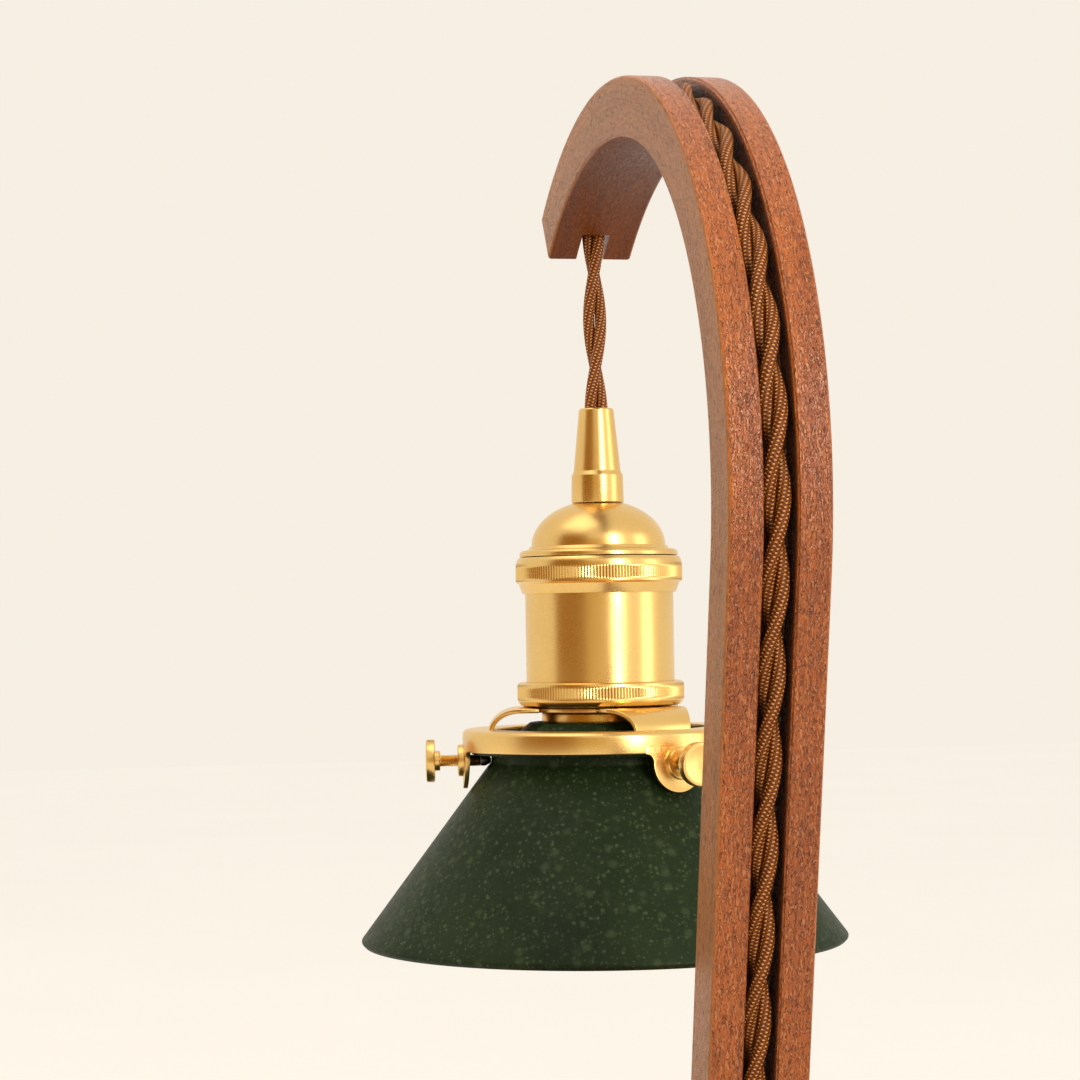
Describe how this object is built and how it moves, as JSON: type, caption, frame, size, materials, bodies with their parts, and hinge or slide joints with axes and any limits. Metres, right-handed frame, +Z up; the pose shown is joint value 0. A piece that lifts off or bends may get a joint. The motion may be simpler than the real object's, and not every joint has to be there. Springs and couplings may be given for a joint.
{
  "type": "candle warmer lamp",
  "caption": "Candle warmer lamp: a bent wooden arch on a round foot hangs a brass lamp head and a green cone shade on a twisted cord, with a dimmer and plug on the lead.",
  "frame": {"origin": "middle of the round foot's underside, on the table", "axes": "+Z up; +Y from the lamp's hanging side towards the arch's post; +X to the right when looking along +Y"},
  "size_m": [0.2084, 0.333, 0.3698],
  "materials": {
    "wood": "satin",
    "brass": "satin",
    "steel": "satin",
    "cord": "matte",
    "shade_glaze": "satin",
    "porcelain": "matte",
    "bulb_mirror": "gloss",
    "bulb_glass": "gloss",
    "black_plastic": "matte",
    "brown_plastic": "satin",
    "white_plastic": "satin",
    "foam": "matte",
    "circuit": "satin"
  },
  "bodies": {
    "stand": {"foot_pad": "foam", "foot_plate": "wood", "foot_weight": "steel", "weight_screw_1": "steel", "weight_screw_2": "steel", "post_screw_1": "steel", "post_screw_2": "steel", "outlet_bush": "brown_plastic", "arch": "wood", "groove_cord": "cord", "lead_1": "cord", "cord_coil": "cord", "lead_2": "cord", "lead_3": "cord", "coil_tie": "black_plastic", "dimmer_case_top": "black_plastic", "dimmer_case_bottom": "black_plastic", "dimmer_board": "circuit", "case_screw_1": "steel", "case_screw_2": "steel", "dimmer_bush_1": "black_plastic", "dimmer_bush_2": "black_plastic", "plug_body": "brown_plastic", "plug_relief": "brown_plastic", "plug_blade_1": "brass", "plug_blade_2": "brass"},
    "cord_upper": {"hanging_cord_upper": "cord"},
    "cord_lower": {"hanging_cord_lower": "cord"},
    "head": {"cord_grip": "brass", "cord_lock": "black_plastic", "dome_cap": "brass", "upper_knurled_ring": "brass", "socket_shell": "brass", "lower_knurled_ring": "brass", "hub_nut": "brass", "gallery": "brass", "shade": "shade_glaze", "lamp_holder": "porcelain", "holder_bridge": "steel", "contact_1": "brass", "contact_2": "brass", "bridge_screw_1": "steel", "bridge_screw_2": "steel", "conductor_1": "white_plastic", "conductor_2": "white_plastic"},
    "bulb": {"bulb_cap": "porcelain", "bulb_pin_1": "steel", "bulb_pin_2": "steel", "bulb_reflector": "bulb_mirror", "bulb_lens": "bulb_glass"},
    "wheel": {"dimmer_wheel": "black_plastic"},
    "tip_1": {"screw_tip_1": "black_plastic"},
    "knob_1": {"thumb_screw_1": "brass"},
    "tip_2": {"screw_tip_2": "black_plastic"},
    "knob_2": {"thumb_screw_2": "brass"},
    "tip_3": {"screw_tip_3": "black_plastic"},
    "knob_3": {"thumb_screw_3": "brass"}
  },
  "joints": [
    {"name": "swing_fore_aft", "type": "hinge", "parent": "stand", "child": "cord_upper", "pos_m": [0, -0.045, 0.33436], "axis": [1, 0, 0], "range_deg": [-35, 20]},
    {"name": "swing_side", "type": "hinge", "parent": "cord_upper", "child": "cord_lower", "pos_m": [0, -0.045, 0.31896], "axis": [0, 1, 0], "range_deg": [-30, 30]},
    {"name": "head_twist", "type": "hinge", "parent": "cord_lower", "child": "head", "pos_m": [0, -0.045, 0.2882], "axis": [0, 0, 1], "range_deg": [-90, 90]},
    {"name": "bulb_twist", "type": "hinge", "parent": "head", "child": "bulb", "pos_m": [0, -0.045, 0.2082], "axis": [0, 0, 1], "range_deg": [-30, 0]},
    {"name": "dimmer_turn", "type": "hinge", "parent": "stand", "child": "wheel", "pos_m": [-0.098, 0.092, 0.0152], "axis": [1, 0, 0], "range_deg": [0, 270]},
    {"name": "screw_1_travel", "type": "slide", "parent": "head", "child": "tip_1", "axis": [0.9829, -0.184, 0], "range_m": [0, 0.0052]},
    {"name": "screw_1_turn", "type": "hinge", "parent": "tip_1", "child": "knob_1", "pos_m": [0, -0.045, 0.19926], "axis": [0.9829, -0.184, 0], "range_deg": [0, 2700]},
    {"name": "screw_2_travel", "type": "slide", "parent": "head", "child": "tip_2", "axis": [-0.3322, 0.9432, 0], "range_m": [0, 0.0052]},
    {"name": "screw_2_turn", "type": "hinge", "parent": "tip_2", "child": "knob_2", "pos_m": [0, -0.045, 0.19926], "axis": [-0.3322, 0.9432, 0], "range_deg": [0, 2700]},
    {"name": "screw_3_travel", "type": "slide", "parent": "head", "child": "tip_3", "axis": [-0.6508, -0.7593, 0], "range_m": [0, 0.0052]},
    {"name": "screw_3_turn", "type": "hinge", "parent": "tip_3", "child": "knob_3", "pos_m": [0, -0.045, 0.19926], "axis": [-0.6508, -0.7593, 0], "range_deg": [0, 2700]}
  ],
  "couplings": [
    {"joint": "screw_1_turn", "follows": "screw_1_travel", "rad_per_m": 8976},
    {"joint": "screw_2_turn", "follows": "screw_2_travel", "rad_per_m": 8976},
    {"joint": "screw_3_turn", "follows": "screw_3_travel", "rad_per_m": 8976}
  ]
}
